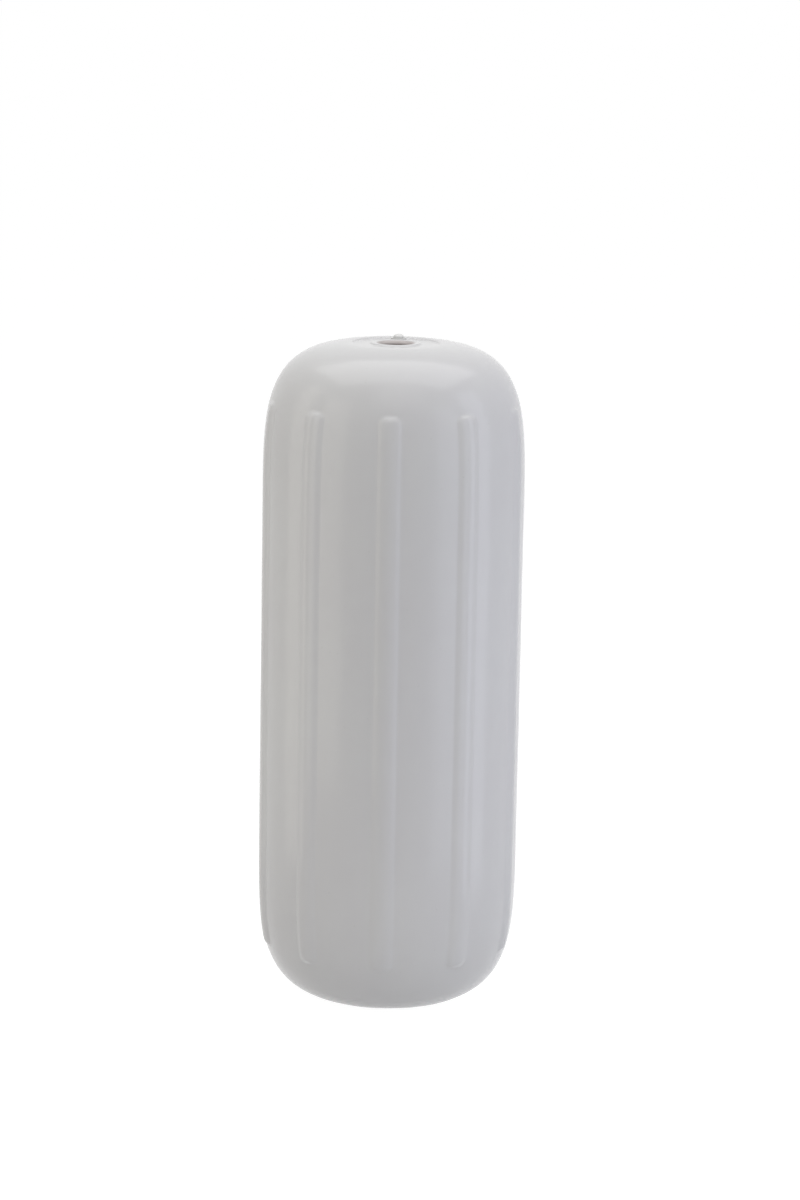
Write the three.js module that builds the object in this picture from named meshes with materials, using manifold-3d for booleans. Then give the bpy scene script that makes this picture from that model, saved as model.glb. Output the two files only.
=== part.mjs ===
// An inflatable boat fender: a ribbed vinyl cylinder with round shoulders, which stands on one end.
// A rope runs through the tube along its middle. A valve beside the upper mouth lets the air in.
// Millimetres, +Z up. The origin is the middle of the lower end, on the surface that it stands on.

import * as THREE from 'three';
import { mergeVertices } from 'three/addons/utils/BufferGeometryUtils.js';
import Module from 'manifold-3d';

const wasm = await Module();
wasm.setup();

// Outer form. The body is widest at the middle and narrows by barrelSwell at each end ring's level.
const bodyLength = 686;
const bodyDiameter = 268.4;
const barrelSwell = 0.4;
const shoulderLength = 166.5;
// The power of the shoulder's superellipse: 2 is an ellipse, and a larger one is fuller
const shoulderFullness = 3.84;

// Ribs, each a rounded bead along the body that stops ribEndMargin short of both ends
const ribCount = 10;
const ribWidth = 24;
const ribHeight = 3;
const ribEndMargin = 58.3;

// Walls of the moulding, round the air chamber
const skinWall = 3.4;
const endWall = 3.8;
const tubeWall = 3.4;
const tubeRootRadius = 6;

// Rope tube, with a rounded mouth and a flat land round it at each end
const boreDiameter = 32;
const mouthRadius = 6;
const mouthLand = 3;

// Each end has a shallow moat between the land and the end ring, where the valve sits
const moatDepth = 1.5;
const moatSlope = 1.5;
const endRingWidth = 7;

// Valve: a soft sleeve pushed into the end wall, and the plug that is screwed into it.
// The bearing is measured from +X, and puts the valve at the back, a little to the right.
const valveBearing = THREE.MathUtils.degToRad(87.6);
const screwShankDiameter = 6;
const screwShankLength = 9;
const screwTipChamfer = 0.8;
const stemWall = 2.2;
const barbStep = 1.3;
const barbRim = 1.2;
const barbLength = 5;
const flangeRim = 2.5;
const flangeThickness = 1.8;
const flangeEdgeRadius = 0.8;
const flangeMargin = 0.5;
const headMargin = 2.5;
const headHeight = 3.5;
const headRim = 0.9;
const slotWidth = 1.4;
const slotDepth = 1.3;

// Gap left between pieces that touch
const seatGap = 0.3;

// Facets of the round forms
const bodySides = 50;
const chamberSides = 30;
const valveSides = 24;
const barrelSteps = 2;
const shoulderSteps = 10;
const chamberSteps = 6;
const filletSteps = 3;
const ribSides = 28;
const ribCapSteps = 7;

// Sizes that follow. Heights called levels are counted from the middle of the fender.
const halfLength = bodyLength / 2;
const bodyRadius = bodyDiameter / 2;
const barrelLevel = halfLength - shoulderLength;
const moatLevel = halfLength - moatDepth;
const chamberLevel = moatLevel - endWall;
const boreRadius = boreDiameter / 2;
const tubeRadius = boreRadius + tubeWall;

const shankRadius = screwShankDiameter / 2;
const airwayRadius = shankRadius + seatGap;
const stemRadius = airwayRadius + stemWall;
const valveHoleRadius = stemRadius + seatGap;
const barbRadius = stemRadius + barbStep;
const flangeRadius = stemRadius + flangeRim;
const headRadius = flangeRadius - headMargin;

const mouthOuterRadius = boreRadius + mouthRadius;
const landRadius = mouthOuterRadius + mouthLand;
const moatInnerRadius = landRadius + moatSlope;
// The valve clears the land outside the wall, and the rounded root of the tube inside it
const valveDistance = Math.max(
  moatInnerRadius + flangeMargin + flangeRadius,
  tubeRadius + tubeRootRadius + seatGap + barbRadius,
);
const moatOuterRadius = valveDistance + flangeRadius + flangeMargin;
const ringInnerRadius = moatOuterRadius + moatSlope;
const ringOuterRadius = ringInnerRadius + endRingWidth;

// Share of the full radius that is left at a level, because the barrel swells towards its middle
function narrowing(level) {
  return 1 - (barrelSwell / bodyRadius) * (level / halfLength) ** 2;
}

// Height of the superellipse of a shoulder that meets a flat end at a given radius and level
function shoulderReach(barrelRadius, flatRadius, flatLevel) {
  const share = flatRadius / (barrelRadius * narrowing(flatLevel));
  return (flatLevel - barrelLevel) / (1 - share ** shoulderFullness) ** (1 / shoulderFullness);
}

// Radius of the outer surface at a level, between the ribs
function skinRadius(level) {
  const reach = shoulderReach(bodyRadius, ringOuterRadius, halfLength);
  const rise = Math.max(0, Math.abs(level) - barrelLevel) / reach;
  return bodyRadius * narrowing(level) * (1 - rise ** shoulderFullness) ** (1 / shoulderFullness);
}

// Points up a barrel and its shoulder, from the middle level to the flat end. Those of the shoulder are
// placed by how far the surface has turned, and closer together near the barrel, where it turns slowly.
function skinOutline(barrelRadius, flatRadius, flatLevel, steps) {
  const points = [];
  for (let step = 0; step < barrelSteps; step += 1) {
    const level = (barrelLevel * step) / barrelSteps;
    points.push(new THREE.Vector2(barrelRadius * narrowing(level), level));
  }
  const reach = shoulderReach(barrelRadius, flatRadius, flatLevel);
  const power = shoulderFullness - 1;
  const endAcross = flatRadius / (barrelRadius * narrowing(flatLevel));
  const endUp = (flatLevel - barrelLevel) / reach;
  const lastTurn = Math.atan2(barrelRadius * endUp ** power, reach * endAcross ** power);
  for (let step = 0; step <= steps; step += 1) {
    const turn = lastTurn * (step / steps) ** 1.5;
    const across = (barrelRadius * Math.cos(turn)) ** (1 / power);
    const up = (reach * Math.sin(turn)) ** (1 / power);
    const size = (across ** shoulderFullness + up ** shoulderFullness) ** (1 / shoulderFullness);
    const level = barrelLevel + (reach * up) / size;
    points.push(new THREE.Vector2((barrelRadius * narrowing(level) * across) / size, level));
  }
  return points;
}

// A quarter round from the top of a corner to its inner side, such as a mouth or a tube's root
function quarterRound(innerRadius, topLevel, radius) {
  const centre = innerRadius + radius;
  const arc = new THREE.EllipseCurve(centre, topLevel - radius, radius, radius, Math.PI / 2, Math.PI);
  return arc.getPoints(filletSteps);
}

// A ring turned round the fender's axis from the upper half of its outline, which runs from the
// outside at the middle level up and in to the bore. The lower half is its mirror image.
function turnedRing(upperHalf, sides) {
  const lowerHalf = upperHalf.map((point) => new THREE.Vector2(point.x, -point.y)).reverse();
  const geometry = new THREE.LatheGeometry([...upperHalf, ...lowerHalf], sides);
  geometry.rotateX(Math.PI / 2);
  return geometry;
}

// A closed mesh as a solid, without the triangles that shrink to a line at a pole
function toSolid(geometry) {
  geometry.deleteAttribute('normal');
  geometry.deleteAttribute('uv');
  const merged = mergeVertices(geometry);
  const corners = merged.index.array;
  const triangles = [];
  for (let i = 0; i < corners.length; i += 3) {
    const [a, b, c] = corners.slice(i, i + 3);
    if (a !== b && b !== c && c !== a) {
      triangles.push(a, b, c);
    }
  }
  const vertProperties = merged.attributes.position.array;
  return new wasm.Manifold(new wasm.Mesh({ numProp: 3, vertProperties, triVerts: new Uint32Array(triangles) }));
}

// A solid as a mesh geometry
function toGeometry(solid) {
  const mesh = solid.getMesh();
  const geometry = new THREE.BufferGeometry();
  geometry.setAttribute('position', new THREE.BufferAttribute(mesh.vertProperties, 3));
  geometry.setIndex(new THREE.BufferAttribute(mesh.triVerts, 1));
  geometry.computeVertexNormals();
  return geometry;
}

// The body without its chamber and ribs: a ring round the rope's bore, with moats in both ends
function blankSolid() {
  const upperHalf = [
    ...skinOutline(bodyRadius, ringOuterRadius, halfLength, shoulderSteps),
    new THREE.Vector2(ringInnerRadius, halfLength),
    new THREE.Vector2(moatOuterRadius, moatLevel),
    new THREE.Vector2(moatInnerRadius, moatLevel),
    new THREE.Vector2(landRadius, halfLength),
    ...quarterRound(boreRadius, halfLength, mouthRadius),
  ];
  return toSolid(turnedRing(upperHalf, bodySides));
}

// The air chamber, which follows the skin outside and the rope tube inside
function chamberSolid() {
  const upperHalf = [
    ...skinOutline(bodyRadius - skinWall, ringOuterRadius, chamberLevel, chamberSteps),
    ...quarterRound(tubeRadius, chamberLevel, tubeRootRadius),
  ];
  return toSolid(turnedRing(upperHalf, chamberSides));
}

// Levels across the straight part of a rib, where the body's outline bends and at its own ends
function ribLevels(endLevel) {
  const outline = skinOutline(bodyRadius, ringOuterRadius, halfLength, shoulderSteps);
  const bends = outline.map((point) => point.y).filter((level) => level > 0 && level < endLevel);
  const upper = [...bends, endLevel];
  return [...upper.map((level) => -level).reverse(), 0, ...upper];
}

// One rib: a long capsule sunk in the skin. It shows as a bead with an arc for its section and round
// ends, and it bends with the body's outline.
function ribSolid(bearing) {
  const halfWidth = ribWidth / 2;
  const crown = ribHeight + bodyRadius - Math.sqrt(bodyRadius ** 2 - halfWidth ** 2);
  const radius = (halfWidth ** 2 + crown ** 2) / (2 * crown);
  const endLevel = halfLength - ribEndMargin - halfWidth;
  const levels = ribLevels(endLevel);
  const rows = levels.length - 1;
  const geometry = new THREE.CapsuleGeometry(radius, 2 * endLevel, ribCapSteps, ribSides, rows);
  geometry.rotateX(Math.PI / 2);
  const position = geometry.attributes.position;
  for (let i = 0; i < position.count; i += 1) {
    let level = position.getZ(i);
    if (Math.abs(level) < endLevel) {
      level = levels[Math.round((rows * (level + endLevel)) / (2 * endLevel))];
    }
    position.setX(i, position.getX(i) + skinRadius(level) + ribHeight - radius);
    position.setZ(i, level);
  }
  geometry.rotateZ(bearing);
  return toSolid(geometry);
}

// The hole in the upper end wall that the valve is pushed into
function valveHoleSolid() {
  const geometry = new THREE.CylinderGeometry(valveHoleRadius, valveHoleRadius, 3 * endWall, valveSides);
  geometry.rotateX(Math.PI / 2);
  const x = valveDistance * Math.cos(valveBearing);
  const y = valveDistance * Math.sin(valveBearing);
  geometry.translate(x, y, moatLevel - endWall / 2);
  return toSolid(geometry);
}

// The moulded body: shell, ribs and rope tube in one, hollow, with the valve's hole as its only opening
function bodyGeometry() {
  let solid = blankSolid();
  for (let i = 0; i < ribCount; i += 1) {
    const bearing = (2 * Math.PI * i) / ribCount - Math.PI / 2;
    solid = solid.add(ribSolid(bearing));
  }
  return toGeometry(solid.subtract(chamberSolid()).subtract(valveHoleSolid()));
}

// The soft valve sleeve: a flange on the moat's floor, a stem through the wall and a barb behind it.
// Its heights are counted from the moat's floor.
function valveBodyGeometry() {
  const top = seatGap + flangeThickness;
  const wallBack = -endWall - seatGap;
  const tip = wallBack - barbLength;
  const edgeCentre = new THREE.Vector2(flangeRadius - flangeEdgeRadius, top - flangeEdgeRadius);
  const edge = new THREE.EllipseCurve(
    edgeCentre.x, edgeCentre.y, flangeEdgeRadius, flangeEdgeRadius, 0, Math.PI / 2,
  );
  const geometry = new THREE.LatheGeometry([
    new THREE.Vector2(airwayRadius, tip),
    new THREE.Vector2((airwayRadius + stemRadius) / 2, tip),
    new THREE.Vector2(barbRadius, wallBack - barbRim),
    new THREE.Vector2(barbRadius, wallBack),
    new THREE.Vector2(stemRadius, wallBack),
    new THREE.Vector2(stemRadius, seatGap),
    new THREE.Vector2(flangeRadius, seatGap),
    ...edge.getPoints(filletSteps),
    new THREE.Vector2(airwayRadius, top),
    new THREE.Vector2(airwayRadius, tip),
  ], valveSides);
  geometry.rotateX(Math.PI / 2);
  return geometry;
}

// The plug that closes the airway: a slotted dome head on a shank
function valveScrewGeometry() {
  const seat = seatGap + flangeThickness + seatGap;
  const rimTop = seat + headRim;
  const tip = seat - screwShankLength;
  const dome = new THREE.EllipseCurve(0, rimTop, headRadius, headHeight - headRim, 0, Math.PI / 2);
  const points = dome.getPoints(2 * filletSteps);
  points[points.length - 1].x = 0;
  const geometry = new THREE.LatheGeometry([
    new THREE.Vector2(0, tip),
    new THREE.Vector2(shankRadius - screwTipChamfer, tip),
    new THREE.Vector2(shankRadius, tip + screwTipChamfer),
    new THREE.Vector2(shankRadius, seat),
    new THREE.Vector2(headRadius, seat),
    ...points,
  ], valveSides);
  geometry.rotateX(Math.PI / 2);
  const slot = new THREE.BoxGeometry(3 * headRadius, slotWidth, 2 * slotDepth);
  slot.translate(0, 0, seat + headHeight);
  return toGeometry(toSolid(geometry).subtract(toSolid(slot)));
}

function namedMesh(name, geometry, material) {
  const mesh = new THREE.Mesh(geometry, material);
  mesh.name = name;
  return mesh;
}

const whiteVinyl = new THREE.MeshStandardMaterial({ color: 0xd2d2d0, roughness: 0.32, metalness: 0 });
const softVinyl = new THREE.MeshStandardMaterial({ color: 0xc4c4c2, roughness: 0.45, metalness: 0 });
const hardPlastic = new THREE.MeshStandardMaterial({ color: 0xd8d8d6, roughness: 0.3, metalness: 0 });

const valve = new THREE.Group();
valve.position.set(
  valveDistance * Math.cos(valveBearing),
  valveDistance * Math.sin(valveBearing),
  moatLevel,
);
valve.add(namedMesh('valve_body', valveBodyGeometry(), softVinyl));
valve.add(namedMesh('valve_screw', valveScrewGeometry(), hardPlastic));

const fender = new THREE.Group();
fender.position.z = halfLength;
fender.add(namedMesh('fender_body', bodyGeometry(), whiteVinyl));
fender.add(valve);

export default fender;
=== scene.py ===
"""An inflatable boat fender of white vinyl, standing on a pale studio floor.

The script is laid out as an add-on and run as a script: it registers its classes, makes each piece
through its operator and lights the result. Lengths are in metres and +Z is up. The fender stands on
the origin, and the Z axis is the axis of its rope tube.
"""

import math
from itertools import product

import bpy
import numpy as np
from bpy.props import FloatProperty, FloatVectorProperty, IntProperty, PointerProperty
from bpy.types import Operator, Panel, PropertyGroup
from mathutils import Matrix, Vector


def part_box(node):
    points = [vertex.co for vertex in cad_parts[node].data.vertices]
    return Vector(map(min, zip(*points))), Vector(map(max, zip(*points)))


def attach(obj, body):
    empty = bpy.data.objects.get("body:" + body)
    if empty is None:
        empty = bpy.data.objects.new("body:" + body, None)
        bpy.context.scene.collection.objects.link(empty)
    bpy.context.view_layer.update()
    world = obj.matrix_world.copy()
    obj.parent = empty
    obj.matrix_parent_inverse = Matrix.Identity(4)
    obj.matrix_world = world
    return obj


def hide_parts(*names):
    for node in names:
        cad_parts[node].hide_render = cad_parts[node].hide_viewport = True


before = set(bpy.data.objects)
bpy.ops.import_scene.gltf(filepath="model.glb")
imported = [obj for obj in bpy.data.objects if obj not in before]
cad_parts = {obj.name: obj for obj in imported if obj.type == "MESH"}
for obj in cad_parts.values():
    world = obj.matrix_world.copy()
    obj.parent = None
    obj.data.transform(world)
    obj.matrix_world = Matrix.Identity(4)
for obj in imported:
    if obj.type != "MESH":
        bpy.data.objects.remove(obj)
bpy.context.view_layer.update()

bl_info = {
    "name": "Boat Fender",
    "version": (1, 0, 0),
    "blender": (4, 5, 0),
    "location": "View3D > Sidebar > Fender",
    "description": "Makes an inflatable fender with moulded ribs, a rope tube and a screwed valve",
    "category": "Object",
}

BODY_LOW, BODY_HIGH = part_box("fender_body")
SLEEVE_LOW, SLEEVE_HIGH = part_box("valve_body")
MIDDLE = (BODY_LOW.z + BODY_HIGH.z) / 2
HALF_LENGTH = BODY_HIGH.z - MIDDLE
WHITE = (1.0, 1.0, 1.0)


# Properties

def number_property(name, description, default, **options):
    """A number that a user can change."""
    return FloatProperty(name=name, description=description, default=default, **options)


def length_property(name, description, default):
    """A length that a user can change."""
    return number_property(name, description, default, min=0.0, unit="LENGTH", precision=5)


def angle_property(name, description, degrees):
    """An angle that a user can change."""
    return number_property(name, description, math.radians(degrees), subtype="ANGLE")


def power_property(name, description, default):
    """The power of a lamp, in watts."""
    return number_property(name, description, default, min=0.0)


def colour_property(name, description, default):
    """A colour in linear light that a user can change."""
    return FloatVectorProperty(
        name=name, description=description, default=default,
        size=3, min=0.0, max=1.0, subtype="COLOR",
    )


class FenderShape(PropertyGroup):
    """Sizes of the moulding"""

    body_diameter: length_property("Body Diameter", "Across the barrel, between the ribs", 0.2684)
    barrel_swell: length_property("Barrel Swell", "Extra radius of the barrel's middle", 0.0004)
    shoulder_length: length_property("Shoulder Length", "Height of each round shoulder", 0.1665)
    shoulder_fullness: number_property(
        "Shoulder Fullness", "Power of the shoulder's superellipse", 3.84, min=2.0,
    )
    rib_count: IntProperty(name="Ribs", description="Ribs round the body", default=10, min=3)
    rib_width: length_property("Rib Width", "Across a rib, between its fillets", 0.024)
    rib_height: length_property("Rib Height", "Height of a rib above the skin", 0.003)
    rib_fillet: length_property("Rib Fillet", "Depth over which a rib blends in", 0.0009)
    rib_end_margin: length_property("Rib End Margin", "From rib end to fender end", 0.0583)
    rib_end_power: number_property(
        "Rib End Power", "How much steeper a rib's end is than its sides", 2.2, min=1.0,
    )
    bore_diameter: length_property("Bore Diameter", "Inside the rope tube", 0.032)
    mouth_radius: length_property("Mouth Radius", "Rounding of the tube's mouths", 0.006)
    mouth_land: length_property("Mouth Land", "Width of the flat land round a mouth", 0.003)
    moat_depth: length_property("Moat Depth", "Depth of the moat round the land", 0.0015)
    moat_slope: length_property("Moat Slope", "Width of the slopes of the moat", 0.0015)
    moat_width: length_property("Moat Width", "Width of the moat's floor", 0.017)
    ring_width: length_property("End Ring Width", "Width of the ring that it stands on", 0.007)
    skin_wall: length_property("Skin Wall", "Thickness of the outer skin and the tube", 0.0034)
    end_wall: length_property("End Wall", "Thickness of the end walls under the moat", 0.0038)
    root_radius: length_property("Root Radius", "Rounding of the tube's inner roots", 0.006)
    edge_softness: length_property("Edge Softness", "Width of the rounded edges", 0.0045)
    waviness: length_property("Waviness", "Depth of the waves that the air leaves", 0.00012)


class FenderValve(PropertyGroup):
    """Sizes of the valve"""

    shank_diameter: length_property("Shank Diameter", "Plug's shank inside the sleeve", 0.006)
    shank_length: length_property("Shank Length", "From under the head to the tip", 0.009)
    stem_wall: length_property("Stem Wall", "Wall of the sleeve's stem", 0.0022)
    barb_step: length_property("Barb Step", "How far the barb stands out", 0.0013)
    barb_rim: length_property("Barb Rim", "Straight part of the barb", 0.0012)
    barb_length: length_property("Barb Length", "From the wall to the sleeve's tip", 0.005)
    flange_rim: length_property("Flange Rim", "How far the flange stands out", 0.0025)
    flange_thickness: length_property("Flange Thickness", "Thickness of the flange", 0.0018)
    head_margin: length_property("Head Margin", "Flange that shows round the head", 0.0025)
    head_height: length_property("Head Height", "Height of the domed head", 0.0037)
    head_rim: length_property("Head Rim", "Upright rim under the dome", 0.0007)
    head_gap: length_property("Head Gap", "Gap under the plug's head", 0.0001)
    slot_width: length_property("Slot Width", "Width of the slot in the head", 0.0014)
    slot_depth: length_property("Slot Depth", "Depth of the slot in the head", 0.0013)
    seat_gap: length_property("Seat Gap", "Gap between pieces that touch", 0.0003)
    edge_softness: length_property("Edge Softness", "Width of the rounded edges", 0.0006)


class FenderFinish(PropertyGroup):
    """Colours and gloss of the materials"""

    vinyl_colour: colour_property("Vinyl", "White vinyl of the moulding", (0.562, 0.561, 0.563))
    vinyl_shade: colour_property("Vinyl Shade", "Vinyl that is duller", (0.551, 0.546, 0.552))
    scuff_colour: colour_property("Scuffs", "Faint rubbed marks", (0.490, 0.488, 0.480))
    # Tube and Tube Depth are painted shade: colours that darken the vinyl inside the rope tube, the
    # more so deeper in, where shade falls.
    mouth_shade_colour: colour_property("Tube", "Vinyl inside the tube's mouth", (0.440, 0.400, 0.390))
    depth_shade_colour: colour_property("Tube Depth", "Dark depth of the tube", (0.200, 0.175, 0.168))
    vinyl_roughness: number_property(
        "Vinyl Roughness", "Roughness of the clean vinyl", 0.20, min=0.0, max=1.0,
    )
    sleeve_colour: colour_property("Sleeve", "Soft vinyl of the sleeve", (0.640, 0.640, 0.630))
    plug_colour: colour_property("Plug", "Hard plastic of the plug", (0.700, 0.700, 0.690))


class FenderStudio(PropertyGroup):
    """Camera and light"""

    camera_distance: length_property("Camera Distance", "From the fender's middle", 3.6545)
    camera_azimuth: angle_property("Camera Azimuth", "Turn of the camera from -Y to +X", 1.96)
    camera_elevation: angle_property("Camera Elevation", "Seen from the fender's middle", 12.42)
    camera_drop: angle_property("Camera Drop", "How far below the middle it looks", -1.17)
    camera_yaw: angle_property("Camera Yaw", "How far to the right it looks", 0.14)
    camera_roll: angle_property("Camera Roll", "Turn about the line of sight", 1.0)
    lens: number_property("Lens", "Focal length in millimetres", 105.9, min=1.0)
    floor_size: length_property("Floor Size", "Side of the square floor", 60.0)
    overhead: power_property("Overhead", "Large lamp overhead", 22.0)
    front: power_property("Front", "Fill lamp above the camera", 30.0)
    low: power_property("Low", "Fill lamp near the floor in front", 0.06)
    back: power_property("Back", "Fill lamp behind the fender", 12.0)
    left: power_property("Left", "Upright lamp on the left", 0.36)
    left_front: power_property("Left Front", "Upright lamp left of the camera", 0.62)
    right: power_property("Right", "Upright lamp on the right", 0.74)
    right_front: power_property("Right Front", "Upright lamp right of the camera", 0.46)
    ambient: number_property("Ambient", "Strength of the light from all round", 0.15)
    warm: colour_property("Warm", "Colour of the lamps on the left", (1.0, 0.960, 0.87))
    cool: colour_property("Cool", "Colour of the lamps on the right", (0.84, 0.865, 1.0))


# Outlines: curves in the half plane of radius and height, as arrays of points

def smooth_step(low, high, values):
    """0 below low and 1 above high, with the cubic 3t^2 - 2t^3 between them."""
    share = np.clip((values - low) / (high - low), 0.0, 1.0)
    return share * share * (3.0 - 2.0 * share)


def running_total(steps):
    """The sums of the first 0, 1, 2 and more steps, up to all of them."""
    return np.concatenate([[0.0], np.cumsum(steps)])


def resampled(points, total, count, closed):
    """Points at equal steps of a running total, which is given at each point of the outline."""
    at = np.linspace(0.0, total[-1], count, endpoint=not closed)
    return np.stack([np.interp(at, total, points[:, axis]) for axis in (0, 1)], axis=1)


def narrowing(shape, level):
    """Share of the full radius at a level: 1 less a parabola that loses the swell by the ends."""
    lost = 2.0 * shape.barrel_swell / shape.body_diameter
    return 1.0 - lost * (level / HALF_LENGTH) ** 2


def skin_outline(shape, barrel_radius, flat_radius, flat_level, barrel_steps=19, steps=240):
    """Barrel and shoulder, from the middle level up to a flat end.

    The shoulder is a superellipse: (radius / a)^n + (rise / b)^n = 1, with a the barrel's radius, n
    the fullness, and b chosen so that the curve meets the flat end's edge. The points follow the
    direction of the surface's normal, from level to nearly upright. The barrel's slow narrowing
    multiplies the radius.
    """
    power = shape.shoulder_fullness
    barrel_level = HALF_LENGTH - shape.shoulder_length
    share = flat_radius / (barrel_radius * narrowing(shape, flat_level))
    reach = (flat_level - barrel_level) / (1.0 - share**power) ** (1.0 / power)
    rise = (flat_level - barrel_level) / reach
    last = math.atan2(barrel_radius * rise ** (power - 1), reach * share ** (power - 1))
    turn = last * np.linspace(0.0, 1.0, steps) ** 2
    across = (barrel_radius * np.cos(turn)) ** (1.0 / (power - 1))
    up = (reach * np.sin(turn)) ** (1.0 / (power - 1))
    size = (across**power + up**power) ** (1.0 / power)
    barrel = np.linspace(0.0, barrel_level, barrel_steps, endpoint=False)
    level = np.concatenate([barrel, barrel_level + reach * up / size])
    radius = np.concatenate([np.full(barrel_steps, barrel_radius), barrel_radius * across / size])
    return np.stack([radius * narrowing(shape, level), level], axis=1)


def quarter_round(inner_radius, top_level, radius, steps=24):
    """A quarter circle from the top of an inner corner down to its upright side."""
    turn = np.linspace(math.pi / 2, math.pi, steps)
    across = inner_radius + radius + radius * np.cos(turn)
    up = top_level - radius + radius * np.sin(turn)
    return np.stack([across, up], axis=1)


def mirrored(upper_half):
    """A closed outline from its upper half, with the lower half as the mirror image."""
    lower_half = upper_half[::-1] * (1.0, -1.0)
    return np.concatenate([upper_half, lower_half])


def end_radii(shape):
    """Radii at which the end changes, from the bore outwards."""
    mouth = shape.bore_diameter / 2 + shape.mouth_radius
    land = mouth + shape.mouth_land
    moat_inner = land + shape.moat_slope
    moat_outer = moat_inner + shape.moat_width
    ring_inner = moat_outer + shape.moat_slope
    return land, moat_inner, moat_outer, ring_inner, ring_inner + shape.ring_width


def moulding_outline(shape):
    """Outer skin, end ring, moat, land and bore of the moulding, as a closed outline."""
    top = HALF_LENGTH
    land, moat_inner, moat_outer, ring_inner, ring_outer = end_radii(shape)
    floor = top - shape.moat_depth
    corners = np.array([(ring_inner, top), (moat_outer, floor), (moat_inner, floor), (land, top)])
    return mirrored(np.concatenate([
        skin_outline(shape, shape.body_diameter / 2, ring_outer, top),
        corners,
        quarter_round(shape.bore_diameter / 2, top, shape.mouth_radius),
    ]))


def chamber_outline(shape):
    """The air chamber between the skin and the rope tube, as a closed outline."""
    ceiling = HALF_LENGTH - shape.moat_depth - shape.end_wall
    ring_outer = end_radii(shape)[-1]
    return mirrored(np.concatenate([
        skin_outline(shape, shape.body_diameter / 2 - shape.skin_wall, ring_outer, ceiling),
        quarter_round(shape.bore_diameter / 2 + shape.skin_wall, ceiling, shape.root_radius),
    ]))


def sleeve_outline(valve, end_wall):
    """The valve's sleeve as a closed outline. Heights are counted from the moat's floor."""
    airway = valve.shank_diameter / 2 + valve.seat_gap
    stem = airway + valve.stem_wall
    flange = stem + valve.flange_rim
    barb = stem + valve.barb_step
    top = valve.seat_gap + valve.flange_thickness
    back = -end_wall - valve.seat_gap
    tip = back - valve.barb_length
    return np.array([
        (airway, tip), ((airway + stem) / 2, tip), (barb, back - valve.barb_rim), (barb, back),
        (stem, back), (stem, valve.seat_gap), (flange, valve.seat_gap), (flange, top),
        (airway, top),
    ])


def plug_outline(valve, dome_steps=40):
    """The plug from its tip to the top of its dome. Heights are counted from the moat's floor."""
    shank = valve.shank_diameter / 2
    head = shank + valve.seat_gap + valve.stem_wall + valve.flange_rim - valve.head_margin
    seat = valve.seat_gap + valve.flange_thickness + valve.head_gap
    tip = seat - valve.shank_length
    turn = np.linspace(0.0, math.pi / 2, dome_steps)
    height = seat + valve.head_rim + (valve.head_height - valve.head_rim) * np.sin(turn)
    dome = np.stack([head * np.cos(turn), height], axis=1)
    dome[-1, 0] = 0.0
    return np.concatenate([[(0.0, tip), (shank, tip), (shank, seat), (head, seat)], dome])


def soften(outline, width, closed, weights=13):
    """The outline with its corners rounded.

    It is sampled at equal steps, and each point becomes the mean of its neighbours under a
    raised-cosine window of the given width. A closed outline wraps round. An open one begins and
    ends on the axis, and carries on there as its own mirror image.
    """
    window = np.hanning(weights + 2)[1:-1]
    window /= window.sum()
    reach = weights // 2
    points = np.concatenate([outline, outline[:1]]) if closed else outline
    run = running_total(np.hypot(*np.diff(points, axis=0).T))
    even = resampled(points, run, int(run[-1] / width * weights), closed)
    padded = np.pad(even, ((reach, reach), (0, 0)), mode="wrap" if closed else "reflect")
    if not closed:
        padded[:reach, 0] *= -1.0
        padded[-reach:, 0] *= -1.0
    return np.stack(
        [np.convolve(padded[:, axis], window, mode="valid") for axis in (0, 1)], axis=1,
    )


def pick_points(outline, count, closed, bend_share=0.5, dense=None):
    """Some points of a fine outline, closer together where it bends.

    Each step between two chosen points takes an equal part of a cost that grows with length, with
    turn, and with the optional weight dense, which is given for each point.
    """
    points = np.concatenate([outline, outline[:1]]) if closed else outline
    steps = np.diff(points, axis=0)
    length = np.hypot(steps[:, 0], steps[:, 1])
    heading = np.unwrap(np.arctan2(steps[:, 1], steps[:, 0]))
    turn = np.abs(np.gradient(heading))
    cost = (1.0 - bend_share) * length / length.sum() + bend_share * turn / turn.sum()
    if dense is not None:
        cost = cost + dense[: len(length)] * length / length.sum()
    return resampled(points, running_total(cost), count, closed)


# Surfaces: an array of points and a list of arrays of faces

def ring_faces(rows, columns):
    """Quads of a grid that closes on itself both ways, with their outsides facing out."""
    row, column = np.meshgrid(np.arange(rows), np.arange(columns), indexing="ij")
    next_row = (row + 1) % rows
    next_column = (column + 1) % columns
    corners = [
        row * columns + column,
        row * columns + next_column,
        next_row * columns + next_column,
        next_row * columns + column,
    ]
    return np.stack(corners, axis=-1).reshape(-1, 4)


def turned_ring(outline, sides):
    """A closed outline turned about the axis: x = r cos a, y = r sin a, z = height."""
    angle = np.arange(sides) * 2.0 * math.pi / sides
    radius, height = outline[:, :1], outline[:, 1:]
    points = np.stack(
        np.broadcast_arrays(radius * np.cos(angle), radius * np.sin(angle), height), axis=-1,
    )
    return points.reshape(-1, 3), [ring_faces(len(outline), sides)]


def turned_solid(outline, sides):
    """An outline from axis to axis turned about it, with one vertex at each pole."""
    points, [quads] = turned_ring(outline[1:-1], sides)
    last = len(points) - sides
    low = np.full(sides, len(points))
    column = np.arange(sides)
    next_column = (column + 1) % sides
    bottom = np.stack([next_column, column, low], axis=1)
    top = np.stack([column + last, next_column + last, low + 1], axis=1)
    poles = [(0.0, 0.0, outline[0, 1]), (0.0, 0.0, outline[-1, 1])]
    return np.concatenate([points, poles]), [quads[:last], bottom, top]


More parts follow.
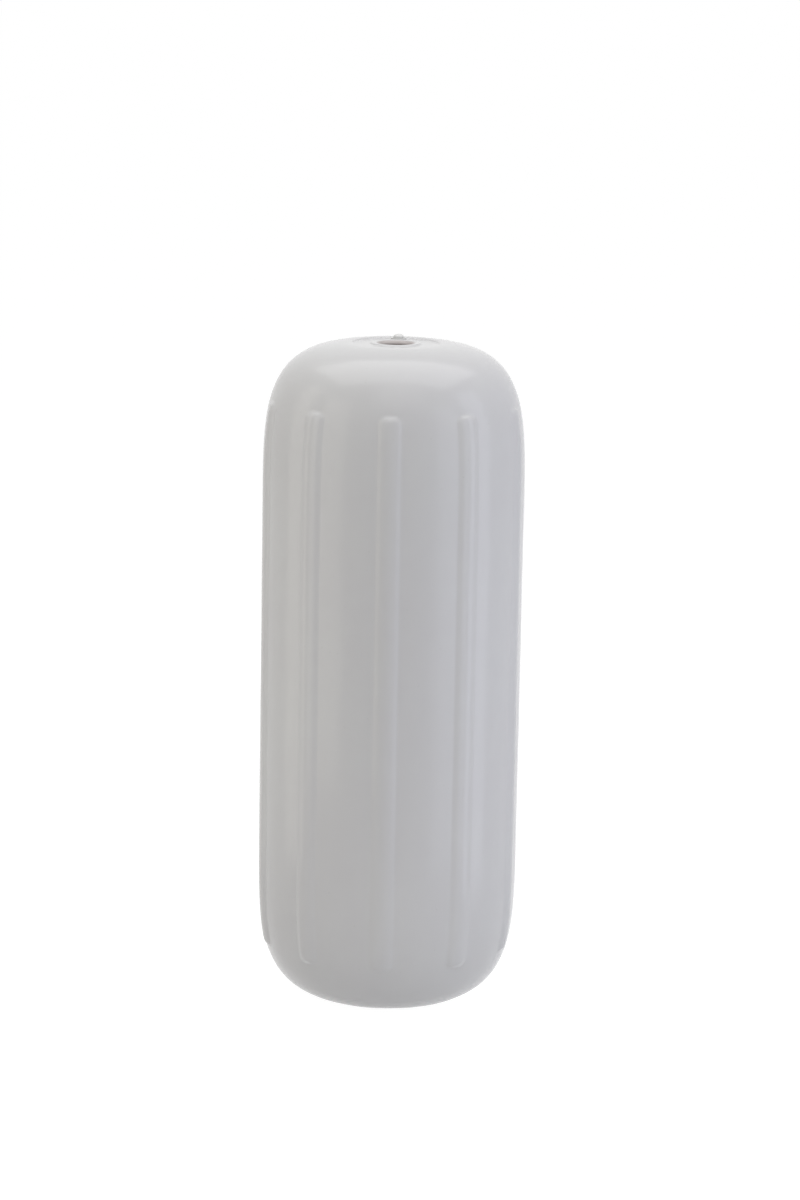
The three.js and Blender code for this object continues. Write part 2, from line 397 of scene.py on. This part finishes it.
def box_surface(low, high):
    """A plain box between two corners, for cutting."""
    points = np.array(list(product(*zip(low, high))))
    faces = [[0, 1, 3, 2], [4, 6, 7, 5], [0, 4, 5, 1], [2, 3, 7, 6], [0, 2, 6, 4], [1, 5, 7, 3]]
    return points, [np.array(faces)]


def joined(*surfaces):
    """Several surfaces as one."""
    starts = running_total([len(points) for points, _ in surfaces]).astype(int)
    faces = [block + start for start, (_, blocks) in zip(starts, surfaces) for block in blocks]
    return np.concatenate([points for points, _ in surfaces]), faces


def rib_rise(shape, across, level):
    """Height of a rib above the skin.

    The rib is a long stadium in plan. Over the distance d from its middle line the height is an arc
    of a circle, sqrt(q^2 - d^2) - (q - h), whose chord is the rib's width and whose rise is its
    height. Beyond the middle line's end, the way along the rib counts as w (way / w)^p, with w half
    the width and p the end power, which makes the ends steeper than the sides. Outside the rib the
    arc goes on below the skin, and a smooth maximum with zero makes the fillet: where the arc is
    within f of the skin, (f - |arc|)^2 / 4f is added.
    """
    half_width = shape.rib_width / 2
    curve = (half_width**2 + shape.rib_height**2) / (2.0 * shape.rib_height)
    straight = HALF_LENGTH - shape.rib_end_margin - half_width
    beyond = np.maximum(np.abs(level) - straight, 0.0)
    beyond = half_width * (beyond / half_width) ** shape.rib_end_power
    distance = np.minimum(np.hypot(across, beyond), curve)
    arc = np.sqrt(curve**2 - distance**2) - (curve - shape.rib_height)
    fillet = shape.rib_fillet
    return np.maximum(arc, 0.0) + np.maximum(fillet - np.abs(arc), 0.0) ** 2 / (4.0 * fillet)


def air_waves(shape, angle, level):
    """Slow waves over the skin: a sum of sines of the angle and the level, which never line up.

    Each wave has its number of turns round the body, its radians a metre along it and its phase.
    """
    waves = [(3, 9.0, 0.4), (5, -14.0, 2.1), (8, 21.0, 4.0), (13, -33.0, 1.3), (7, 47.0, 5.2)]
    total = sum(np.sin(turns * angle + along * level + phase) for turns, along, phase in waves)
    return shape.waviness * total / len(waves) * 2.0


def rib_columns(shape, columns_per_rib=36, crowding=3.0, samples=721):
    """Angles round the body, closer together on the ribs and their fillets. One rib faces -Y.

    With each angle comes how far it lies from the middle of its rib.
    """
    sector = 2.0 * math.pi / shape.rib_count
    half_rib = (shape.rib_width + 4.0 * shape.rib_fillet) / shape.body_diameter
    offset = np.linspace(-sector / 2, sector / 2, samples)
    weight = np.where(np.abs(offset) < half_rib, crowding, 1.0)
    total = running_total((weight[1:] + weight[:-1]) / 2)
    equal = np.linspace(0.0, total[-1], columns_per_rib, endpoint=False)
    part = np.interp(equal, total, offset)
    middles = np.arange(shape.rib_count) * sector - math.pi / 2
    return (middles[:, None] + part[None, :]).ravel(), np.tile(part, shape.rib_count)


def moulding_surface(shape, rows=262, crowding=2.5, blend=0.03):
    """The outside of the moulding, from the outer skin round both ends and through the bore.

    The closed outline is turned about the axis, with more rows at the ribs' ends. On the outer skin
    each point moves along the outline's normal by the height of the rib there and by the air's slow
    waves, which come in over a blend in radius outside the end ring.
    """
    ring_outer = end_radii(shape)[-1]
    outline = soften(moulding_outline(shape), shape.edge_softness, closed=True)
    radius, level = outline.T
    rib_end = HALF_LENGTH - shape.rib_end_margin
    near_end = np.abs(np.abs(level) - rib_end + shape.rib_width / 4) < shape.rib_width / 2
    dense = crowding * (near_end & (radius > ring_outer))
    outline = pick_points(outline, rows, closed=True, dense=dense)
    tangent = np.roll(outline, -1, axis=0) - np.roll(outline, 1, axis=0)
    tangent /= np.hypot(tangent[:, :1], tangent[:, 1:])
    radius, level = outline[:, :1], outline[:, 1:]
    angle, offset = rib_columns(shape)
    rise = rib_rise(shape, radius * offset, level) + air_waves(shape, angle, level)
    rise = rise * smooth_step(ring_outer, ring_outer + blend, radius)
    radius = radius + tangent[:, 1:] * rise
    height = MIDDLE + level - tangent[:, :1] * rise
    points = np.stack([radius * np.cos(angle), radius * np.sin(angle), height], axis=-1)
    return points.reshape(-1, 3), [ring_faces(rows, len(angle))]


def chamber_surface(shape, rows=64, sides=60):
    """The wall of the air chamber. Its faces point into the chamber, away from the vinyl."""
    outline = pick_points(chamber_outline(shape), rows, closed=True)
    points, faces = turned_ring(outline + (0.0, MIDDLE), sides)
    return points, [block[:, ::-1] for block in faces]


def hole_surface(shape, valve, sides=48):
    """The cylinder that cuts the valve's hole. Heights are counted from the moat's floor."""
    radius = valve.shank_diameter / 2 + 2.0 * valve.seat_gap + valve.stem_wall
    low, high = -2.0 * shape.end_wall, shape.end_wall
    return turned_solid(np.array([(0.0, low), (radius, low), (radius, high), (0.0, high)]), sides)


def sleeve_surface(shape, valve, rows=90, sides=96, bend_share=0.75):
    """The valve's sleeve. Heights are counted from the moat's floor."""
    outline = soften(sleeve_outline(valve, shape.end_wall), valve.edge_softness, closed=True)
    return turned_ring(pick_points(outline, rows, closed=True, bend_share=bend_share), sides)


def plug_surface(valve, rows=80, sides=96, bend_share=0.7):
    """The valve's plug without its slot. Heights are counted from the moat's floor."""
    outline = soften(plug_outline(valve), valve.edge_softness, closed=False)
    outline[[0, -1], 0] = 0.0
    return turned_solid(pick_points(outline, rows, closed=False, bend_share=bend_share), sides)


def slot_surface(valve):
    """The box that cuts the plug's slot. Heights are counted from the moat's floor."""
    reach = valve.shank_diameter + valve.flange_rim + valve.stem_wall
    crown = valve.seat_gap + valve.flange_thickness + valve.head_gap + valve.head_height
    low = (-reach, -valve.slot_width / 2, crown - valve.slot_depth)
    high = (reach, valve.slot_width / 2, crown + valve.slot_depth)
    return box_surface(low, high)


def at_valve(shape, surface):
    """A surface counted from the moat's floor on the valve's axis, moved to its place."""
    points, faces = surface
    middle = (SLEEVE_LOW.x + SLEEVE_HIGH.x) / 2, (SLEEVE_LOW.y + SLEEVE_HIGH.y) / 2
    return points + np.array([*middle, BODY_HIGH.z - shape.moat_depth]), faces


# Pieces

def make_piece(name, points, faces):
    """A smooth mesh object at the origin, with its place in its mesh."""
    mesh = bpy.data.meshes.new(name)
    mesh.from_pydata(points.tolist(), [], [face for block in faces for face in block.tolist()])
    mesh.shade_smooth()
    piece = bpy.data.objects.new(name, mesh)
    bpy.context.scene.collection.objects.link(piece)
    return piece


def cut(piece, points, faces):
    """Cuts a closed surface out of a piece."""
    cutter = make_piece("cutter", points, faces)
    modifier = piece.modifiers.new("Cut", "BOOLEAN")
    modifier.operation = "DIFFERENCE"
    modifier.solver = "EXACT"
    modifier.object = cutter
    bpy.context.view_layer.update()
    evaluated = piece.evaluated_get(bpy.context.evaluated_depsgraph_get())
    mesh = bpy.data.meshes.new_from_object(evaluated)
    piece.modifiers.clear()
    piece.data = mesh
    bpy.data.objects.remove(cutter)


def dress(piece, node, material):
    """Puts a finished piece in the place of its CAD node."""
    piece.data.materials.clear()
    piece.data.materials.append(material)
    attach(piece, "root")
    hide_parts(node)


# Materials

class Value:
    """A socket of a material. Arithmetic on it adds the Math nodes that work it out."""

    def __init__(self, nodes, socket):
        self.nodes = nodes
        self.socket = socket

    def _math(self, operation, *values):
        return self.nodes.add("ShaderNodeMath", {"operation": operation}, dict(enumerate(values)))

    def __add__(self, other):
        return self._math("ADD", self, other)

    __radd__ = __add__

    def __mul__(self, other):
        return self._math("MULTIPLY", self, other)

    def __sub__(self, other):
        return self._math("SUBTRACT", self, other)

    def __rsub__(self, other):
        return self._math("SUBTRACT", other, self)

    def __abs__(self):
        return self._math("ABSOLUTE", self)

    def maximum(self, other):
        """The larger of two values."""
        return self._math("MAXIMUM", self, other)

    def siblings(self, *names):
        """Other outputs of the same node, by name."""
        return [Value(self.nodes, self.socket.node.outputs[name]) for name in names]


class Nodes:
    """The node tree of a material or a world, emptied and built up again."""

    def __init__(self, owner):
        owner.use_nodes = True
        self.owner = owner
        self.tree = owner.node_tree
        self.tree.nodes.clear()

    def add(self, kind, settings=None, inputs=None, output=0):
        """Adds a node, sets it up, fills or links its sockets, and returns one of its outputs."""
        node = self.tree.nodes.new(kind)
        for name, value in (settings or {}).items():
            setattr(node, name, value)
        for name, value in (inputs or {}).items():
            if isinstance(value, Value):
                self.tree.links.new(value.socket, node.inputs[name])
            else:
                node.inputs[name].default_value = value
        return Value(self, node.outputs[output]) if node.outputs else None

    def position(self):
        """Object coordinates, in metres."""
        return self.add("ShaderNodeTexCoord", output="Object")

    def parts(self, vector):
        """The three components of a vector."""
        x = self.add("ShaderNodeSeparateXYZ", inputs={"Vector": vector}, output="X")
        return x, *x.siblings("Y", "Z")

    def noise(self, vector, scale, detail, stretch=None):
        """Noise from 0 to 1, with about scale features a metre. stretch scales the axes first."""
        if stretch:
            vector = self.add("ShaderNodeMapping", inputs={"Vector": vector, "Scale": stretch})
        inputs = {"Vector": vector, "Scale": scale, "Detail": detail, "Roughness": 0.5}
        return self.add("ShaderNodeTexNoise", inputs=inputs)

    def ramp(self, value, low, high):
        """0 below low and 1 above high."""
        inputs = {"Value": value, "From Min": low, "From Max": high}
        return self.add("ShaderNodeMapRange", {"interpolation_type": "SMOOTHSTEP"}, inputs)

    def mix(self, share, first, second):
        """A colour between two colours. The node's inputs 6 and 7 and its output 2 are colours."""
        inputs = {"Factor": share, 6: first, 7: second}
        return self.add("ShaderNodeMix", {"data_type": "RGBA"}, inputs, output=2)

    def bump(self, height, distance, normal=None):
        """A normal bent by a height from 0 to 1, which stands for the distance in metres."""
        inputs = {"Height": height, "Distance": distance, "Strength": 1.0}
        if normal:
            inputs["Normal"] = normal
        return self.add("ShaderNodeBump", inputs=inputs)

    def material(self, shader):
        """Ends the tree with a shader, and returns the material."""
        self.add("ShaderNodeOutputMaterial", inputs={"Surface": shader})
        return self.owner

    def principled(self, **inputs):
        """Ends the tree with a Principled shader, and returns the material."""
        named = {name.replace("_", " "): value for name, value in inputs.items()}
        return self.material(self.add("ShaderNodeBsdfPrincipled", inputs=named))


def rgba(colour):
    """A colour with a full alpha."""
    return (*colour, 1.0)


def darker(colour, share):
    """A colour with each part multiplied by a share."""
    return tuple(share * part for part in colour)


def paint_tube_shade(nodes, here, mouth_radius, colour, finish):
    """The colour with painted shade inside the rope tube: darker and pinker in the mouth, and
    darker still the deeper it is.

    Inside means nearer to the axis than the mouth's edge. Depth is counted from the nearer end.
    """
    x, y, z = nodes.parts(here)
    inside = 1.0 - nodes.ramp(x * x + y * y, low=(0.96 * mouth_radius) ** 2, high=mouth_radius**2)
    depth = HALF_LENGTH - abs(z - MIDDLE)
    mouth_shade_mask = inside * nodes.ramp(depth, low=0.0001, high=0.0010)
    depth_shade_mask = inside * nodes.ramp(depth, low=0.0026, high=0.0046)
    # Painted shade inside the tube: a darker, pinker colour in the mouth and a dark one deeper in.
    colour = nodes.mix(mouth_shade_mask, colour, rgba(finish.mouth_shade_colour))
    return nodes.mix(depth_shade_mask, colour, rgba(finish.depth_shade_colour))


def white_vinyl(finish, mouth_radius):
    """Glossy white vinyl: slow mottling, a few specks, a fine grain, slow waves in the gloss, and
    painted shade inside the rope tube.
    """
    nodes = Nodes(bpy.data.materials.new("white_vinyl"))
    here = nodes.position()
    mottle = nodes.noise(here, scale=6.0, detail=3.0)
    cloud = nodes.noise(here, scale=45.0, detail=4.0)
    specks = nodes.ramp(nodes.noise(here, scale=380.0, detail=0.0), low=0.84, high=0.88)
    tone = nodes.ramp(mottle * 0.7 + cloud * 0.3, low=0.35, high=0.65)
    colour = nodes.mix(tone, rgba(finish.vinyl_shade), rgba(finish.vinyl_colour))
    colour = nodes.mix(specks * 0.5, colour, rgba(finish.scuff_colour))
    # Painted shade: the inside of the rope tube is darkened in colour here.
    colour = paint_tube_shade(nodes, here, mouth_radius, colour, finish)
    roughness = finish.vinyl_roughness + (cloud - 0.5) * 0.03
    waves = nodes.noise(here, scale=14.0, detail=1.0)
    grain = nodes.noise(here, scale=700.0, detail=2.0)
    normal = nodes.bump(waves, distance=0.0004)
    normal = nodes.bump(grain, distance=0.000004, normal=normal)
    return nodes.principled(Base_Color=colour, Roughness=roughness, Normal=normal, IOR=1.46)


def soft_sleeve(finish):
    """Satin soft vinyl with a fine moulded grain."""
    nodes = Nodes(bpy.data.materials.new("valve_sleeve"))
    here = nodes.position()
    cloud = nodes.noise(here, scale=260.0, detail=4.0)
    tone = nodes.ramp(cloud, low=0.35, high=0.65)
    shade = darker(finish.sleeve_colour, 0.88)
    colour = nodes.mix(tone, rgba(shade), rgba(finish.sleeve_colour))
    roughness = 0.42 + cloud * 0.12
    normal = nodes.bump(nodes.noise(here, scale=2600.0, detail=2.0), distance=0.00002)
    return nodes.principled(Base_Color=colour, Roughness=roughness, Normal=normal, IOR=1.5)


def hard_plug(finish):
    """Glossy hard plastic with fine driver scratches."""
    nodes = Nodes(bpy.data.materials.new("valve_plug"))
    here = nodes.position()
    cloud = nodes.noise(here, scale=300.0, detail=4.0)
    streaks = nodes.noise(here, scale=600.0, detail=3.0, stretch=(1.0, 9.0, 1.0))
    scratches = nodes.ramp(streaks, low=0.60, high=0.70)
    tone = nodes.ramp(cloud, low=0.35, high=0.65)
    shade = darker(finish.plug_colour, 0.90)
    colour = nodes.mix(tone, rgba(shade), rgba(finish.plug_colour))
    roughness = 0.16 + cloud * 0.05 + scratches * 0.05
    normal = nodes.bump(scratches, distance=-0.000008)
    return nodes.principled(Base_Color=colour, Roughness=roughness, Normal=normal, IOR=1.49)


# Studio

def seen_directly(nodes):
    """1 on rays from the camera and on those that gloss or glass passes on, and 0 on the rest."""
    from_camera = nodes.add("ShaderNodeLightPath", output="Is Camera Ray")
    from_gloss, from_glass = from_camera.siblings("Is Glossy Ray", "Is Transmission Ray")
    return from_camera.maximum(from_gloss).maximum(from_glass)


def pale_floor(ambient, albedo=0.85, share=0.8):
    """A floor that shows white but keeps the shadow: part glow, part lit paper.

    The glow makes up for what the paper lacks in the open, where only the ambient light reaches it.
    """
    nodes = Nodes(bpy.data.materials.new("pale_floor"))
    glow_strength = (1.0 - (1.0 - share) * albedo * ambient) / share
    paper = nodes.add("ShaderNodeBsdfDiffuse", inputs={"Color": (albedo, albedo, albedo, 1.0)})
    glow = nodes.add("ShaderNodeEmission", inputs={"Strength": glow_strength})
    inputs = {0: seen_directly(nodes) * share, 1: paper, 2: glow}
    return nodes.material(nodes.add("ShaderNodeMixShader", inputs=inputs))


def make_floor(studio):
    """The floor as one large square under the fender."""
    half = studio.floor_size / 2
    corners = [(-half, -half, 0.0), (half, -half, 0.0), (half, half, 0.0), (-half, half, 0.0)]
    floor = make_piece("studio_floor", np.array(corners), [np.array([[0, 1, 2, 3]])])
    floor.data.materials.append(pale_floor(studio.ambient))


def make_world(studio):
    """A white world for the eye and for gloss, and a dimmer one for the light that it gives."""
    world = bpy.data.worlds.new("studio")
    bpy.context.scene.world = world
    nodes = Nodes(world)
    strength = seen_directly(nodes) * (1.0 - studio.ambient) + studio.ambient
    inputs = {"Color": rgba(WHITE), "Strength": strength}
    glow = nodes.add("ShaderNodeBackground", inputs=inputs)
    nodes.add("ShaderNodeOutputWorld", inputs={"Surface": glow})


def make_lamp(name, azimuth, distance, height, size, power, colour=WHITE, aim=None, fill=False):
    """A soft rectangular lamp, hidden from the camera. A fill lamp is hidden from gloss too.

    The azimuth is in degrees from -Y towards +X, and the distance is that from the fender's axis.
    The lamp faces the axis at the height aim, or else at its own height. Its size is its width and
    its height.
    """
    light = bpy.data.lights.new(name, "AREA")
    light.shape = "RECTANGLE"
    light.size, light.size_y = size
    light.energy = power
    light.color = colour
    lamp = bpy.data.objects.new(name, light)
    turn = math.radians(azimuth)
    lamp.location = (distance * math.sin(turn), -distance * math.cos(turn), height)
    way = Vector((0.0, 0.0, height if aim is None else aim)) - lamp.location
    lamp.rotation_euler = way.to_track_quat("-Z", "Y").to_euler()
    lamp.visible_camera = False
    lamp.visible_glossy = not fill
    bpy.context.scene.collection.objects.link(lamp)


def make_lamps(studio):
    """A lamp overhead, three fill lamps, and two upright lamps on each side."""
    make_lamp(
        "overhead", azimuth=180.0, distance=0.15, height=2.2, size=(2.8, 1.7),
        power=studio.overhead, aim=0.44,
    )
    make_lamp(
        "front", azimuth=7.0, distance=1.7, height=2.6, size=(1.6, 1.6),
        power=studio.front, aim=0.44, fill=True,
    )
    make_lamp(
        "low", azimuth=5.0, distance=0.45, height=0.06, size=(0.5, 0.10),
        power=studio.low, aim=0.05, fill=True,
    )
    make_lamp(
        "back", azimuth=180.0, distance=2.6, height=1.2, size=(1.6, 1.6),
        power=studio.back, aim=0.44, fill=True,
    )
    make_lamp(
        "left", azimuth=-82.0, distance=0.50, height=0.50, size=(0.14, 0.90),
        power=studio.left, colour=studio.warm,
    )
    make_lamp(
        "left_front", azimuth=-50.0, distance=0.60, height=0.54, size=(0.26, 0.84),
        power=studio.left_front, colour=studio.warm,
    )
    make_lamp(
        "right", azimuth=73.0, distance=0.50, height=0.49, size=(0.20, 0.94),
        power=studio.right, colour=studio.cool,
    )
    make_lamp(
        "right_front", azimuth=46.0, distance=0.60, height=0.47, size=(0.20, 0.88),
        power=studio.right_front, colour=studio.cool,
    )


def make_camera(studio):
    """The camera of the photograph: a long lens a little above the fender and to one side."""
    turn = Matrix.Rotation(studio.camera_azimuth, 3, "Z")
    elevation = studio.camera_elevation
    pitch = elevation + studio.camera_drop
    yaw = studio.camera_yaw
    roll = studio.camera_roll
    eye = turn @ Vector((0.0, -math.cos(elevation), math.sin(elevation))) * studio.camera_distance
    ahead = turn @ Vector((
        math.sin(yaw) * math.cos(pitch), math.cos(yaw) * math.cos(pitch), -math.sin(pitch),
    ))
    right = turn @ Vector((math.cos(yaw), -math.sin(yaw), 0.0))
    up = right.cross(ahead)
    rolled_right = math.cos(roll) * right + math.sin(roll) * up
    rolled_up = -math.sin(roll) * right + math.cos(roll) * up
    place = Matrix.Translation(eye + Vector((0.0, 0.0, MIDDLE)))
    axes = Matrix((rolled_right, rolled_up, -ahead)).transposed()
    camera = bpy.data.objects.new("camera", bpy.data.cameras.new("camera"))
    camera.matrix_world = place @ axes.to_4x4()
    camera.data.lens = studio.lens
    bpy.context.scene.collection.objects.link(camera)
    bpy.context.scene.camera = camera


# Operators

class FENDER_OT_moulding(Operator):
    """Makes the moulded vinyl body with its ribs, its rope tube and its air chamber"""

    bl_idname = "fender.moulding"
    bl_label = "Moulding"

    def execute(self, context):
        shape = context.scene.fender_shape
        valve = context.scene.fender_valve
        surface = joined(moulding_surface(shape), chamber_surface(shape))
        piece = make_piece("fender_moulding", *surface)
        cut(piece, *at_valve(shape, hole_surface(shape, valve)))
        mouth_radius = shape.bore_diameter / 2 + shape.mouth_radius
        material = white_vinyl(context.scene.fender_finish, mouth_radius)
        dress(piece, "fender_body", material)
        return {"FINISHED"}


class FENDER_OT_valve(Operator):
    """Makes the valve's soft sleeve and the slotted plug that closes it"""

    bl_idname = "fender.valve"
    bl_label = "Valve"

    def execute(self, context):
        shape = context.scene.fender_shape
        valve = context.scene.fender_valve
        finish = context.scene.fender_finish
        sleeve = make_piece("valve_sleeve", *at_valve(shape, sleeve_surface(shape, valve)))
        dress(sleeve, "valve_body", soft_sleeve(finish))
        plug = make_piece("valve_plug", *at_valve(shape, plug_surface(valve)))
        cut(plug, *at_valve(shape, slot_surface(valve)))
        dress(plug, "valve_screw", hard_plug(finish))
        return {"FINISHED"}


class FENDER_OT_studio(Operator):
    """Makes the floor, the light and the camera"""

    bl_idname = "fender.studio"
    bl_label = "Studio"

    def execute(self, context):
        studio = context.scene.fender_studio
        make_floor(studio)
        make_world(studio)
        make_lamps(studio)
        make_camera(studio)
        context.scene.view_settings.view_transform = "Standard"
        return {"FINISHED"}


class FENDER_PT_panel(Panel):
    """Lists the steps and the sizes of the fender"""

    bl_label = "Boat Fender"
    bl_space_type = "VIEW_3D"
    bl_region_type = "UI"
    bl_category = "Fender"

    def draw(self, context):
        layout = self.layout
        for operator in OPERATORS:
            layout.operator(operator.bl_idname)
        for name in GROUPS:
            group = getattr(context.scene, name)
            box = layout.box()
            for key in group.bl_rna.properties.keys():
                if key not in ("rna_type", "name"):
                    box.prop(group, key)


GROUPS = {
    "fender_shape": FenderShape,
    "fender_valve": FenderValve,
    "fender_finish": FenderFinish,
    "fender_studio": FenderStudio,
}
OPERATORS = (FENDER_OT_moulding, FENDER_OT_valve, FENDER_OT_studio)
CLASSES = (*GROUPS.values(), *OPERATORS, FENDER_PT_panel)


def register():
    for cls in CLASSES:
        bpy.utils.register_class(cls)
    for name, group in GROUPS.items():
        setattr(bpy.types.Scene, name, PointerProperty(type=group))


def unregister():
    for name in GROUPS:
        delattr(bpy.types.Scene, name)
    for cls in reversed(CLASSES):
        bpy.utils.unregister_class(cls)


def main():
    register()
    bpy.ops.fender.moulding()
    bpy.ops.fender.valve()
    bpy.ops.fender.studio()


if __name__ == "__main__":
    main()
